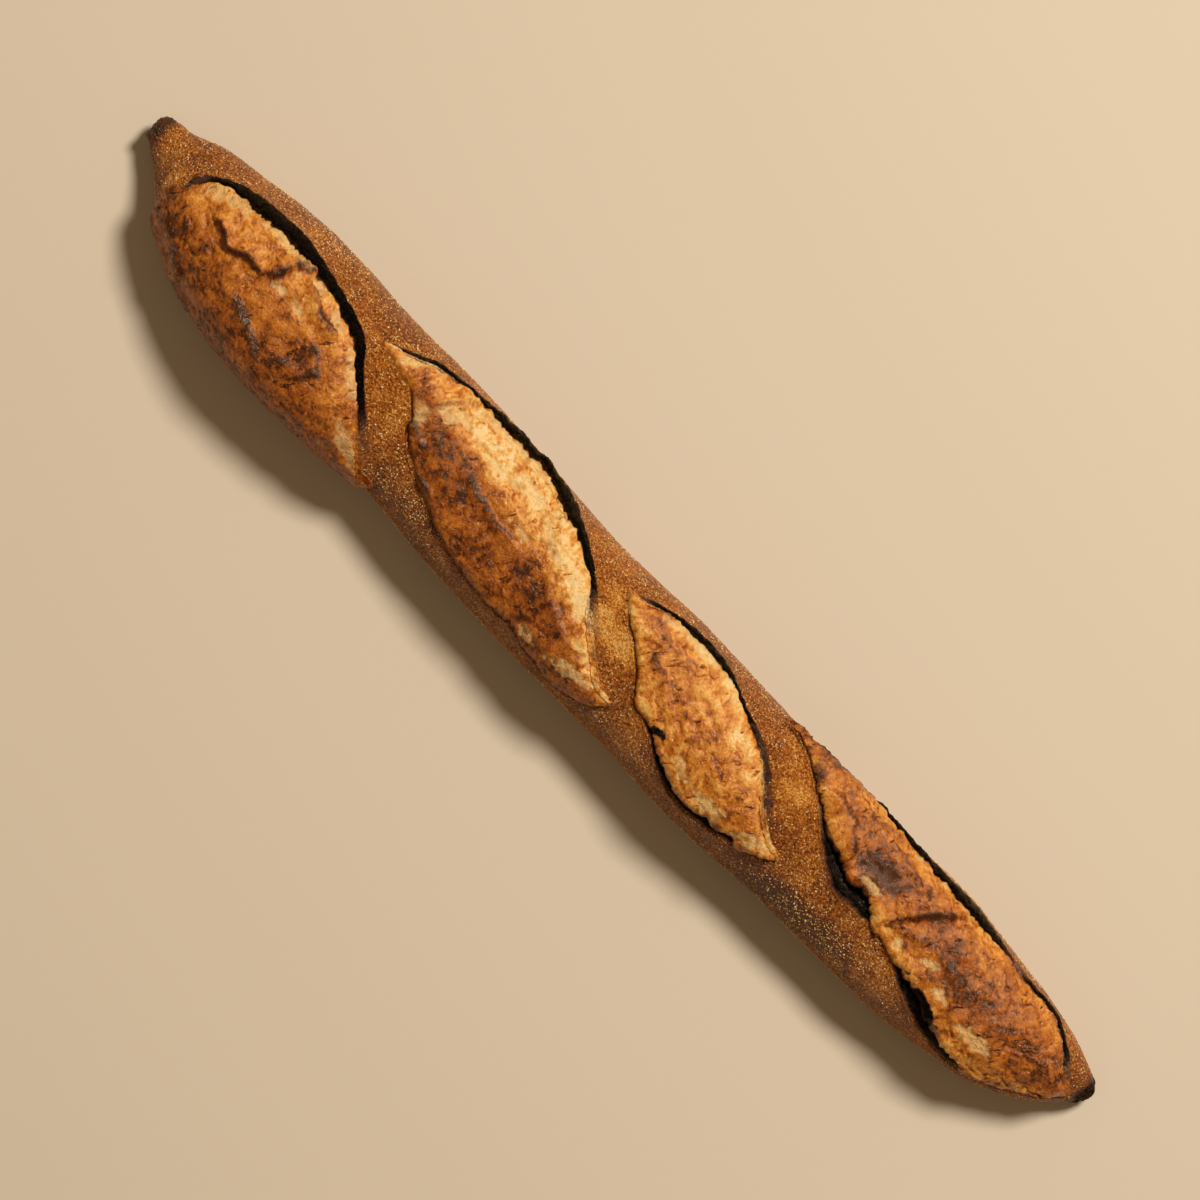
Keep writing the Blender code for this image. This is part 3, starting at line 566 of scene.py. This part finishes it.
def from_line(points, path):
    """How far each point is from a path seen from above, and the side it lies on: 1 is the path's left."""
    best, side = np.full(len(points), 1.0), np.ones(len(points))
    for (ax, ay), (bx, by) in zip(path, path[1:]):
        dx, dy = points[:, 0] - ax, points[:, 1] - ay
        t = np.clip((dx * (bx - ax) + dy * (by - ay)) / ((bx - ax) ** 2 + (by - ay) ** 2), 0, 1)
        away = np.hypot(dx - t * (bx - ax), dy - t * (by - ay))
        side = np.where(away < best, np.sign((bx - ax) * dy - (by - ay) * dx), side)
        best = np.minimum(best, away)
    return best, side


def outward(grid, closed):
    """The outward direction at every point of a grid of rings. A closed grid's last row meets its first."""
    along = np.gradient(grid, axis=0)
    around = np.roll(grid, -1, 1) - np.roll(grid, 1, 1) if closed else np.gradient(grid, axis=1)
    direction = np.cross(along, around)
    return direction / np.maximum(np.linalg.norm(direction, axis=2, keepdims=True), 1e-12)


def stretched(points):
    """Points in a frame drawn out across the cuts, the way bread tears, so noise read there is streaky."""
    turn = math.radians(STREAK_TURN)
    along = points[:, 0] * math.cos(turn) + points[:, 1] * math.sin(turn)
    beside = points[:, 1] * math.cos(turn) - points[:, 0] * math.sin(turn)
    return np.stack([along * STREAK_STRETCH, beside * 1.2, points[:, 2]], 1)


def lines_of(points, size, octaves, seed, sharp):
    """Thin winding lines, 1 along each and 0 away from it."""
    return np.exp(-np.abs(grain(points, size, octaves, seed)) * sharp)


def cells_at(points, size, shift):
    """Each point's place in a field of cells of the size given, and what the field says there."""
    spots = [Vector(p) / size + Vector(shift) for p in points]
    return spots, [noise.voronoi(spot) for spot in spots]


def relief_of(points, bread, burn, toast, hidden):
    """How far lumps, folds, tears and creases raise each point, and the values that its material reads."""
    warp = np.stack([grain(points, 0.01, 3, seed) for seed in (1, 2, 3)], 1) * 0.0045
    lumps = grain(points, 0.013, 2, 4)
    folds = lines_of(points * (1.0, 1.5, 1.5) + warp, 0.011, 3, 5, 7)
    wrinkles = lines_of(stretched(points + warp * 0.7), 0.0034, 3, 6, 6)
    pebbles = grain(points, 0.0014, 3, 7, 0.6)
    patch = grain(points, 0.01, 3, 8)
    edge_noise = grain(points, 0.003, 3, 9)

    window = np.max([from_above(points, *place) for place in WINDOWS], 0)
    window = ramp(window + 0.55 * edge_noise, -0.05, 0.5) * bread * (1 - ramp(burn, 0.1, 0.5))
    bulge = np.zeros(len(points))
    for *place, height in BLISTERS:
        bulge += height * ramp(from_above(points + warp * 0.5, *place), 0.0, 0.75)
    fissure, fissure_shade, step = np.zeros((3, len(points)))
    ragged = points + warp * 0.5 + 0.0007 * np.stack([pebbles, edge_noise, pebbles], 1)
    for path, half_width, depth, dark in CREASES:
        away, side = from_line(ragged, path)
        away = away / (half_width * (1 + 0.5 * edge_noise))
        fissure = np.maximum(fissure, np.exp(-away ** 1.2) * depth)
        fissure_shade = np.maximum(fissure_shade, np.exp(-(away * 1.25) ** 2) * dark)
        step += side * depth * 0.9 * np.exp(-((away / 3.2) ** 2)) * ramp(away, 0.0, 0.9)
    # Browning, with painted shade on the low side and painted light on the raised bridges
    browning_and_painted_light = np.zeros(len(points))
    for *place, amount in BROWNING_AND_PAINTED_LIGHT:
        browning_and_painted_light += amount * ramp(from_above(points, *place) + 0.5 * patch, -0.2, 0.9)

    _, cells = cells_at(points * (1.1, 0.8, 0.8) + warp * 0.3, 0.004, (SEED, 0, 0))
    web = ramp(np.array([away[1] - away[0] for away, _ in cells]), 0.0, 0.5)
    spots, plates = cells_at(points * (0.8, 1.2, 1.2) + warp * 1.6, 0.01, (0, SEED, 0))
    plate_edge = np.array([away[1] - away[0] for away, _ in plates])
    plate_tone = np.array([noise.noise(middle[0] * 3.7) for _, middle in plates]) * 1.6
    tilt = Vector((0.5, 0.9, 0.2))
    plate_lean = np.array([(spot - middle[0]).dot(tilt) for spot, (_, middle) in zip(spots, plates)])
    crack = np.exp(-((plate_edge / 0.05) ** 2)) * ramp(patch, -0.45, 0.25)
    plate_rise = (0.8 * plate_tone - 1.2 * plate_lean) * ramp(plate_edge, 0.0, 0.12)

    free = bread * (1 - hidden)
    calm = ramp(toast, 0.45, 0.75)
    relief = (1 - bread) * (0.00045 * grain(points, 0.022, 2, 11) + 0.00014 * pebbles)
    lift = 0.0007 * lumps + 0.001 * folds * (1 - 0.4 * calm) + 0.00055 * plate_rise * (1 - 0.2 * calm)
    lift += 0.00034 * (wrinkles - 0.3) + 0.00004 * pebbles - 0.0006 * crack - 0.0014
    relief += free * (lift * (1 - 0.9 * window) + bulge)
    relief += free * (step - fissure)
    relief -= (0.0003 + 0.0011 * web) * window * (1 - 0.5 * hidden)
    relief += burn * (0.0003 * edge_noise + 0.00035 * pebbles)
    tip = 1 - ramp(np.minimum(points[:, 0], LENGTH - points[:, 0]), 0.0, 0.012)
    relief += tip * (0.0003 * edge_noise + 0.0003 * pebbles - 0.0003)
    for along, across, reach, depth in TIP_NOTCHES:
        away = np.hypot(points[:, 0] - along, points[:, 1] - across)
        relief -= depth * np.exp(-((away / reach) ** 2))

    mottle = 0.12 * patch + 0.3 * (folds - 0.25) + 0.34 * (wrinkles - 0.3) + 0.06 * plate_tone
    toast = toast + bread * (mottle * (1 - 0.3 * calm) - 0.07)
    toast = toast + bread * 0.3 * crack * (1 - window)
    toast = toast + 0.65 * browning_and_painted_light * (0.4 + 0.6 * bread)
    # Crease floors are browned darker here as painted shade
    toast = np.clip(toast + 0.45 * fissure_shade * bread, 0, 1.4)
    left_tip = 1 - ramp(points[:, 0] + 0.0012 * edge_noise, 0.003, 0.011)
    right_tip = ramp(points[:, 0] + 0.0012 * edge_noise, LENGTH - 0.01, LENGTH - 0.002)
    char = np.maximum(0.48 * left_tip, 0.8 * right_tip)
    low_down = 1 - ramp(points[:, 2], 0.017, 0.027)
    for *place, amount in CHARRED:
        near = from_above(points, *place) + 0.45 * edge_noise
        char = np.maximum(char, amount * ramp(near - 1.6 * low_down, 0.0, 0.5))
    burn = np.maximum(burn, char)
    values = {
        "bread": bread,
        "burn": burn,
        "toast": toast,
        "window": window,
        "web": web * window,
        "browning_and_painted_light": browning_and_painted_light,
        # Painted shade, near black, at the floors of creases and of cracks between plates
        "crease_shade": np.maximum(fissure_shade, 0.35 * crack * calm) * bread,
    }
    return relief, values


def eased(value, start, reach):
    """The value itself up to start. Past it, values are drawn in and never go further than reach."""
    past = np.maximum(value - start, 0)
    return value - past + reach * (1 - np.exp(-past / reach))


def to_loaf(points):
    """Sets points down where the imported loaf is."""
    corners = np.array([shape_ring(x)[0] for x in WIDEST_AT])
    low = np.array([0.0, corners[..., 1].min(), 0])
    high = np.array([LENGTH, corners[..., 1].max(), 0])
    box = np.array(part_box("baguette"))
    settled = points.copy()
    settled[:, 1] = -eased(-points[:, 1], *SIDE_EASING)
    settled[:, 2] = eased(points[:, 2], *TOP_EASING)
    return settled + np.array([*((box[0] + box[1] - low - high) / 2)[:2], box[0, 2]])


def linked(name, data):
    """A new object of the data given, in the scene."""
    piece = bpy.data.objects.new(name, data)
    bpy.context.scene.collection.objects.link(piece)
    return piece


def mesh_piece(name, verts, faces, values, corner_uv=None):
    """A mesh with the values its material reads. With a map of its corners it is smooth too."""
    mesh = bpy.data.meshes.new(name)
    mesh.from_pydata(verts.tolist(), [], faces)
    for key, value in values.items():
        mesh.attributes.new(key, "FLOAT", "POINT").data.foreach_set("value", value.astype(np.float32))
    if corner_uv:
        corner = np.empty(len(mesh.loops), int)
        mesh.loops.foreach_get("vertex_index", corner)
        uv = np.stack(corner_uv(mesh, corner), 1) * (1 - 2 * UV_MARGIN) + UV_MARGIN
        mesh.uv_layers.new(name="OFBake").data.foreach_set("uv", uv.ravel().astype(np.float32))
    mesh.update()
    if corner_uv:
        mesh.shade_smooth()
    return linked(name, mesh)


def grid_faces(rings, rows, closed):
    ring, row = np.meshgrid(np.arange(rings - 1), np.arange(rows if closed else rows - 1), indexing="ij")
    ahead = (row + 1) % rows
    corners = [ring * rows + row, (ring + 1) * rows + row, (ring + 1) * rows + ahead, ring * rows + ahead]
    return np.stack(corners, -1).reshape(-1, 4)


def build_skin():
    """The loaf's closed skin. Inside each opening it lies a little under the sheet of risen bread there."""
    along = np.linspace(0, LENGTH, RING_SEARCH_STEPS)
    density = 1 + TIP_CROWDING * (np.exp(-along / TIP_REACH) + np.exp((along - LENGTH) / TIP_REACH))
    total = np.concatenate([[0], np.cumsum((density[1:] + density[:-1]) / 2)])
    places = np.interp(np.arange(1, RINGS + 1) / (RINGS + 1) * total[-1], total, along)
    points, out_up, round_share, *looks, covered = joined(shape_ring(x) for x in places)
    relief, values = relief_of(points, *looks)
    relief -= SKIN_UNDER_BREAD * covered
    values["under"] = 1 - ramp(out_up, -0.97, -0.55)
    directions = outward(points.reshape(RINGS, ROWS, 3), True).reshape(-1, 3)
    points = points + directions * (relief * ramp(out_up, -0.9, -0.4))[:, None]
    points[:, 2] = np.maximum(points[:, 2], 0)

    tips = []
    for x in (0.0, LENGTH):
        section = plain_section(x)
        tips.append((x, section["across"].mean(), section["up"].mean()))
    verts = to_loaf(np.concatenate([points, tips]))
    for name, value in values.items():
        values[name] = np.concatenate([value, [value[:ROWS].mean(), value[-ROWS:].mean()]])
    pole, last_ring = RINGS * ROWS, (RINGS - 1) * ROWS
    row = np.arange(ROWS)
    ahead = (row + 1) % ROWS
    left = np.stack([np.full(ROWS, pole), row, ahead], -1)
    right = np.stack([np.full(ROWS, pole + 1), last_ring + ahead, last_ring + row], -1)
    quads = grid_faces(RINGS, ROWS, True)

    def corner_uv(mesh, corner):
        """Length along u and the way round along v. A face across the seam ends at v = 1."""
        u = np.concatenate([np.repeat(places / LENGTH, ROWS), [0, 1]])[corner]
        v = np.concatenate([round_share, [0, 0]])[corner]
        start, size = np.empty(len(mesh.polygons), int), np.empty(len(mesh.polygons), int)
        mesh.polygons.foreach_get("loop_start", start)
        mesh.polygons.foreach_get("loop_total", size)
        owner = np.repeat(np.arange(len(size)), size)
        last = np.zeros(len(size), bool)
        np.logical_or.at(last, owner, (corner < pole) & (corner % ROWS == ROWS - 1))
        v = np.where((corner < pole) & (corner % ROWS == 0) & last[owner], 1.0, v)
        for first in start[len(quads):]:
            where = slice(first, first + 3)
            at_pole = corner[where] >= pole
            v[where] = np.where(at_pole, v[where][~at_pole].mean(), v[where])
        return u, v

    skin = mesh_piece("crust_skin", verts, quads.tolist() + left.tolist() + right.tolist(), values, corner_uv)
    return skin, verts[:-2], values, directions


def build_bread(number):
    """The sheet of risen bread in one opening. It starts under the flap and ends tucked under the lip."""
    cut = CUTS[number]
    begin, end = cut["ear"][0][0], cut["ear"][-1][0]
    places, sections, found = [], [], []
    for x in np.linspace(begin, end, int((end - begin) / BREAD_STEP)):
        section = plain_section(x)
        here = cut_at(number, x, section)
        if here and here["width"] > NARROWEST_BREAD:
            places.append(x)
            sections.append(section)
            found.append(here)
    widest = max(here["width"] for here in found)
    rows = min(int(widest / BREAD_STEP), BREAD_POINTS // len(places))
    parts, border = [], []
    for x, section, here in zip(places, sections, found):
        first = here["ear"] + bread_start(here)
        place = np.linspace(first, here["ear"] + here["width"] + BREAD_PAST_LIP, rows)
        parts.append(shape_ring(x, place))
        from_edge = np.minimum((place[-1] - place) * here["lip_square"], min(x - places[0], places[-1] - x))
        from_flap = (place - first) * here["square"]
        at_edge, at_flap = 1 - ramp(from_edge, 0.0, 0.0007), 1 - ramp(from_flap, 0.0, 0.002)
        border.append(0.0005 * at_edge + 0.001 * at_flap - 0.00012)
    points, _, _, bread, burn, toast, hidden, _ = joined(parts)
    relief, values = relief_of(points, bread, burn, toast, hidden * 0.6)
    relief = relief - np.concatenate(border)
    values["under"] = np.zeros(len(points))
    directions = outward(points.reshape(len(parts), rows, 3), False).reshape(-1, 3)
    verts = to_loaf(points + directions * relief[:, None])
    verts[:, 2] = np.maximum(verts[:, 2], LOWEST_BREAD)
    across = np.tile(np.linspace(0, 1, rows), len(parts))
    along = np.repeat(np.linspace(0, 1, len(parts)), rows)

    def corner_uv(mesh, corner):
        return along[corner], across[corner]

    faces = grid_faces(len(parts), rows, False).tolist()
    return mesh_piece(f"risen_bread_{number + 1}", verts, faces, values, corner_uv)


class Nodes:
    """Adds nodes to a material, and joins or sets their inputs by name or number."""

    def __init__(self, name):
        self.material = bpy.data.materials.new(name)
        self.material.use_nodes = True
        self.tree = self.material.node_tree
        self.shader = self.tree.nodes["Principled BSDF"]

    def set(self, socket, value):
        if isinstance(value, bpy.types.NodeSocket):
            self.tree.links.new(value, socket)
        else:
            socket.default_value = value

    def add(self, kind, settings=None, **inputs):
        node = self.tree.nodes.new(kind)
        for key, value in (settings or {}).items():
            setattr(node, key, value)
        for key, value in inputs.items():
            socket = int(key[1:]) if key[0] == "i" and key[1:].isdigit() else key
            self.set(node.inputs[socket], value)
        return node

    def math(self, operation, a, b, clamp=False):
        settings = {"operation": operation, "use_clamp": clamp}
        return self.add("ShaderNodeMath", settings, i0=a, i1=b).outputs[0]

    def times(self, a, b):
        return self.math("MULTIPLY", a, b)

    def less(self, a, b, clamp=False):
        return self.math("SUBTRACT", a, b, clamp)

    def plus(self, total, *terms):
        """Adds terms to the total, each a value, its amount and, if it has one, its middle."""
        for value, amount, *middle in terms:
            value = self.less(value, middle[0]) if middle else value
            total = self.math("ADD", total, self.times(value, amount))
        return total

    def vector_math(self, operation, **inputs):
        return self.add("ShaderNodeVectorMath", {"operation": operation}, **inputs).outputs[0]

    def mix(self, amount, a, b):
        return self.add("ShaderNodeMix", {"data_type": "RGBA"}, i0=amount, i6=a, i7=b).outputs[2]

    def ramp(self, value, stops):
        node = self.add("ShaderNodeValToRGB", i0=value)
        elements = node.color_ramp.elements
        while len(elements) < len(stops):
            elements.new(0.5)
        for element, (position, colour) in zip(elements, stops):
            element.position = position
            element.color = (*colour, 1)
        return node.outputs[0]

    def span(self, value, low, high, start=0.0, end=1.0):
        limits = {"i1": low, "i2": high, "i3": start, "i4": end}
        return self.add("ShaderNodeMapRange", {"clamp": True}, i0=value, **limits).outputs[0]

    def attribute(self, name):
        return self.add("ShaderNodeAttribute", {"attribute_name": name}).outputs["Fac"]

    def noise(self, vector, size, detail=3.0, rough=0.55, kind="FBM", distortion=0.0):
        node = self.add("ShaderNodeTexNoise", {"noise_type": kind, "normalize": True}, Vector=vector)
        node.inputs["Scale"].default_value = 1 / size
        node.inputs["Detail"].default_value = detail
        node.inputs["Roughness"].default_value = rough
        node.inputs["Distortion"].default_value = distortion
        return self.span(node.outputs[0], 0.3, 0.7)

    def cells(self, vector, size, feature="F1"):
        node = self.add("ShaderNodeTexVoronoi", {"feature": feature}, Vector=vector)
        node.inputs["Scale"].default_value = 1 / size
        return node.outputs["Distance"]

    def bump(self, height, distance, strength=1.0, normal=None):
        node = self.add("ShaderNodeBump", Height=height)
        node.inputs["Strength"].default_value = strength
        node.inputs["Distance"].default_value = distance
        if normal is not None:
            self.set(node.inputs["Normal"], normal)
        return node.outputs[0]


def crust_material():
    n = Nodes("baked_crust")
    where = n.add("ShaderNodeTexCoord").outputs["Object"]
    bread, burn, toast, window, web, browning_and_painted_light, under, crease_shade = (
        n.attribute(name) for name in ("bread", "burn", "toast", "window", "web", "browning_and_painted_light", "under", "crease_shade")
    )
    broad = n.noise(where, 0.022, 3)
    middle = n.noise(where, 0.006, 4, 0.6)
    fine = n.noise(where, 0.0012, 3, 0.6)
    dust = n.noise(where, 0.0006, 2, 0.7)
    drawn = n.add("ShaderNodeMapping", {"vector_type": "TEXTURE"}, Vector=where)
    drawn.inputs["Rotation"].default_value[2] = math.radians(STREAK_TURN)
    drawn.inputs["Scale"].default_value = (1 / STREAK_STRETCH, 0.8, 1.0)
    ridge = n.noise(drawn.outputs[0], 0.0026, 4, 0.62, "RIDGED_MULTIFRACTAL", 0.5)

    # Smooth crust: chestnut, with darker and more golden patches and a fine fleck of flour
    grit = n.span(n.noise(where, 0.001, 3, 0.7), 0.1, 0.9)
    tone = n.plus(n.times(broad, 0.26), (middle, 0.2), (fine, 0.3, 0.25), (grit, 0.68, 0.27))
    # Browning, with painted shade on the low side and painted light on the raised bridges
    tone = n.less(tone, n.times(browning_and_painted_light, 0.6))
    smooth = n.ramp(tone, (
        (0.12, (0.1, 0.019, 0.002)), (0.36, (0.27, 0.059, 0.005)), (0.6, (0.48, 0.133, 0.011)),
        (0.82, (0.7, 0.25, 0.03)), (1.0, (0.86, 0.43, 0.1)),
    ))
    fleck = n.span(n.cells(where, 0.0012), 0.34, 0.24)
    fleck = n.times(fleck, n.span(n.noise(where, 0.004, 3, 0.6), 0.3, 0.7))
    smooth = n.mix(n.times(fleck, 0.85), smooth, (0.93, 0.57, 0.19, 1))

    # Thin wrinkle lines in the risen bread
    bent = n.add("ShaderNodeTexNoise", {"noise_dimensions": "3D"}, Vector=where)
    bent.inputs["Scale"].default_value, bent.inputs["Detail"].default_value = 1 / 0.004, 3
    push = n.vector_math("SUBTRACT", i0=bent.outputs["Color"], i1=(0.5, 0.5, 0.5))
    push = n.vector_math("SCALE", i0=push, Scale=0.006)
    bent = n.vector_math("ADD", i0=drawn.outputs[0], i1=push)
    vein = n.span(n.cells(bent, 0.0058, "DISTANCE_TO_EDGE"), 0.085, 0.0)
    vein = n.times(n.times(vein, n.span(middle, 0.35, 0.85)), n.span(toast, 0.25, 0.55))

    # Risen bread: cream and gold beside the ear, browning away from it and along every fold
    brown = n.plus(toast, (middle, 0.2, 0.5), (fine, 0.34, 0.5), (ridge, 0.62, 0.08))
    brown = n.math("ADD", brown, n.times(vein, 0.12), True)
    risen = n.ramp(brown, (
        (0.0, (0.83, 0.56, 0.24)), (0.14, (0.79, 0.43, 0.11)), (0.3, (0.72, 0.285, 0.042)),
        (0.5, (0.54, 0.158, 0.015)), (0.76, (0.3, 0.068, 0.008)), (1.0, (0.07, 0.016, 0.004)),
    ))

    # Torn crumb: cream webs round hollows, the hollows painted darker as painted shade
    hollow_shade = n.times(web, n.span(n.noise(where, 0.003, 3), 0.0, 0.6))
    crumb = n.mix(hollow_shade, (0.92, 0.63, 0.27, 1), (0.43, 0.19, 0.034, 1))
    crumb = n.mix(n.times(n.span(fine, 0.45, 0.95), 0.6), crumb, (0.76, 0.37, 0.07, 1))
    torn = n.span(n.plus(window, (fine, 0.7, 0.5), (middle, 0.5, 0.5)), 0.3, 1.05)
    risen = n.mix(n.times(torn, 0.72), risen, crumb)

    edge = n.plus(n.times(n.less(fine, 0.5), 0.3), (middle, 0.5))
    colour = n.mix(n.span(n.math("ADD", bread, n.less(edge, 0.25)), 0.3, 0.7), smooth, risen)
    floury = n.mix(n.span(fine, 0.25, 0.85), (0.3, 0.11, 0.03, 1), (0.62, 0.4, 0.2, 1))
    colour = n.mix(n.times(under, 0.8), colour, floury)
    # Painted shade: crease and crack floors darkened towards black
    colour = n.mix(n.times(crease_shade, n.span(middle, 0.1, 0.7)), colour, (0.04, 0.01, 0.004, 1))
    # Burnt crust darkens towards black; burn also carries the painted shadow under each flap and in the grooves
    burnt = n.plus(burn, (middle, 0.26, 0.5), (fine, 0.22, 0.5))
    colour = n.mix(n.span(burnt, 0.16, 0.5), colour, (0.085, 0.028, 0.014, 1))
    charred = n.span(burnt, 0.45, 0.75)
    flake = n.span(n.noise(where, 0.0009, 3, 0.7), 0.55, 1.0)
    char = n.mix(flake, (0.003, 0.0018, 0.0014, 1), (0.045, 0.03, 0.024, 1))
    colour = n.mix(charred, colour, char)
    n.set(n.shader.inputs["Base Color"], colour)

    # Charred crust gives back no light of its own, only a faint glassy glint
    n.set(n.shader.inputs["Metallic"], n.times(charred, 0.92))
    rough = n.plus(n.span(fine, 0.0, 1.0, 0.13, 0.36), (torn, 0.15), (charred, 0.15))
    rough = n.less(rough, n.times(n.span(brown, 0.35, 0.75), n.times(bread, 0.05)), True)
    n.set(n.shader.inputs["Roughness"], rough)
    n.shader.inputs["Specular IOR Level"].default_value = 0.5
    n.shader.inputs["Specular Tint"].default_value = (1.0, 0.82, 0.58, 1)

    height = n.plus(n.times(grit, 0.8), (dust, 0.35), (fine, 0.6))
    height = n.times(height, n.less(1.0, n.times(bread, 0.75)))
    normal = n.bump(height, 0.00055, 1.0)
    rise = n.times(n.less(ridge, n.times(vein, 0.4)), bread)
    normal = n.bump(rise, 0.0006, 1.0, normal)
    pits = n.times(n.cells(where, 0.0014, "SMOOTH_F1"), torn)
    normal = n.bump(pits, 0.0003, 0.8, normal)
    n.set(n.shader.inputs["Normal"], normal)
    return n.material


def grain_object(name, loaf_points, directions, weight, count):
    """Many tiny angular grains, half sunk into the skin where weight says they lie."""
    rng = np.random.default_rng(SEED)
    chosen = rng.choice(len(loaf_points), count, p=weight / weight.sum())
    spot = loaf_points[chosen] + rng.normal(0, 0.0004, (count, 3))
    up = directions[chosen]
    spot = spot - up * ((spot - loaf_points[chosen]) * up).sum(1, keepdims=True)
    side = np.cross(up, rng.normal(size=(count, 3)))
    side /= np.maximum(np.linalg.norm(side, axis=1, keepdims=True), 1e-9)
    other = np.cross(up, side)
    size = rng.uniform(SMALLEST_GRAIN, LARGEST_GRAIN, (count, 3)) / 2 * rng.uniform(0.6, 1.0, (count, 1))
    axes = np.stack([side * size[:, :1], other * size[:, 1:2], up * size[:, 2:] * 0.8], 1)
    corners = np.array([(1, 0.2, 0), (-0.2, 1, 0), (-1, -0.1, 0), (0.1, -1, 0), (0.1, 0.1, 1), (0, 0, -1)])
    verts = spot[:, None] + np.einsum("kc,ncd->nkd", corners, axes)
    verts[..., 2] = np.maximum(verts[..., 2], cad_box[0][2])
    faces = np.array([(0, 1, 4), (1, 2, 4), (2, 3, 4), (3, 0, 4), (1, 0, 5), (2, 1, 5), (3, 2, 5), (0, 3, 5)])
    faces = (faces[None] + np.arange(count)[:, None, None] * len(corners)).reshape(-1, 3)
    tint = np.repeat(rng.uniform(0, 1, count), len(corners))
    return mesh_piece(name, verts.reshape(-1, 3), faces.tolist(), {"tint": tint})


def semolina_material():
    n = Nodes("toasted_semolina")
    where = n.add("ShaderNodeTexCoord").outputs["Object"]
    tone = n.plus(n.attribute("tint"), (n.noise(where, 0.0004, 2), 0.3, 0.5))
    colour = n.ramp(tone, (
        (0.0, (0.52, 0.2, 0.03)), (0.3, (0.8, 0.42, 0.1)), (0.6, (0.94, 0.64, 0.24)),
        (1.0, (1.0, 0.82, 0.48)),
    ))
    n.set(n.shader.inputs["Base Color"], colour)
    n.shader.inputs["Roughness"].default_value = 0.45
    n.set(n.shader.inputs["Normal"], n.bump(n.noise(where, 0.0002, 2), 0.00005))
    return n.material


def semolina_weight(points, directions, values):
    """How thickly the grains lie at each point: drifts on the smooth crust, and none on bread or char."""
    grid = points.reshape(RINGS, ROWS, 3)
    area = np.linalg.norm(np.cross(np.gradient(grid, axis=0), np.gradient(grid, axis=1)), axis=2).ravel()
    drift = ramp(grain(points, 0.012, 3, 21), -0.35, 0.45)
    in_loaf = points - to_loaf(np.zeros((1, 3)))
    thick = np.max([ramp(from_above(in_loaf, *place), 0.0, 0.6) for place in SEMOLINA_DRIFTS], 0)
    plain = (1 - ramp(values["bread"][:-2], 0.05, 0.5)) * (1 - ramp(values["burn"][:-2], 0.15, 0.5))
    return area * plain * (0.22 + 0.9 * drift + 1.0 * thick) * (0.3 + 0.7 * ramp(directions[:, 2], -0.4, 0.2))


def floor_and_light():
    mesh = bpy.data.meshes.new("floor")
    mesh.from_pydata([(-3, -3, 0), (3, -3, 0), (3, 3, 0), (-3, 3, 0)], [], [(0, 1, 2, 3)])
    floor = linked("floor", mesh)
    n = Nodes("pale_floor")
    n.shader.inputs["Base Color"].default_value = (0.695, 0.575, 0.432, 1)
    n.shader.inputs["Roughness"].default_value = 0.9
    n.shader.inputs["Specular IOR Level"].default_value = 0.1
    floor.data.materials.append(n.material)
    floor.location.z = cad_box[0][2] - FLOOR_GAP

    world = bpy.data.worlds.new("studio")
    bpy.context.scene.world = world
    world.use_nodes = True
    sky = world.node_tree.nodes["Background"]
    sky.inputs["Color"].default_value = (1.0, 0.76, 0.44, 1)
    sky.inputs["Strength"].default_value = 0.17
    for name, place, size, power, colour in (  # watts
        ("key", (0.3, 1.9, 2.55), 0.8, 103, (1.0, 0.96, 0.9)),
        ("fill", (-0.6, -1.2, 2.5), 1.2, 2, (1.0, 0.92, 0.84)),
    ):
        light = bpy.data.lights.new(name, "AREA")
        light.shape, light.size, light.energy, light.color = "DISK", size, power, colour
        lamp = linked(name, light)
        lamp.location = place
        lamp.rotation_euler = Vector(place).to_track_quat("Z", "Y").to_euler()


def camera():
    """Straight above, with the loaf running from the upper left corner to the lower right."""
    data = bpy.data.cameras.new("camera")
    data.lens, data.sensor_width = 200, 36
    data.clip_end = 20
    eye = linked("camera", data)
    across_frame, height = 0.497, 0.013
    middle = (cad_box[0][0] + cad_box[1][0]) / 2 - 0.0097
    side = cad_box[0][1] + 0.0497 - 0.0045
    eye.location = (middle, side, height + across_frame * data.lens / data.sensor_width)
    eye.rotation_euler = (0, 0, math.radians(46.289))
    bpy.context.scene.camera = eye


camera()
floor_and_light()
crust = crust_material()
skin, skin_points, skin_values, directions = build_skin()
for piece in (skin, *(build_bread(number) for number in range(len(CUTS)))):
    piece.data.materials.append(crust)
    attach(piece, "root")
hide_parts("baguette")

weight = semolina_weight(skin_points, directions, skin_values)
semolina = grain_object("semolina", skin_points, directions, weight, GRAINS)
semolina.data.materials.append(semolina_material())
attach(semolina, "root")

bpy.context.scene.view_settings.view_transform = "Standard"
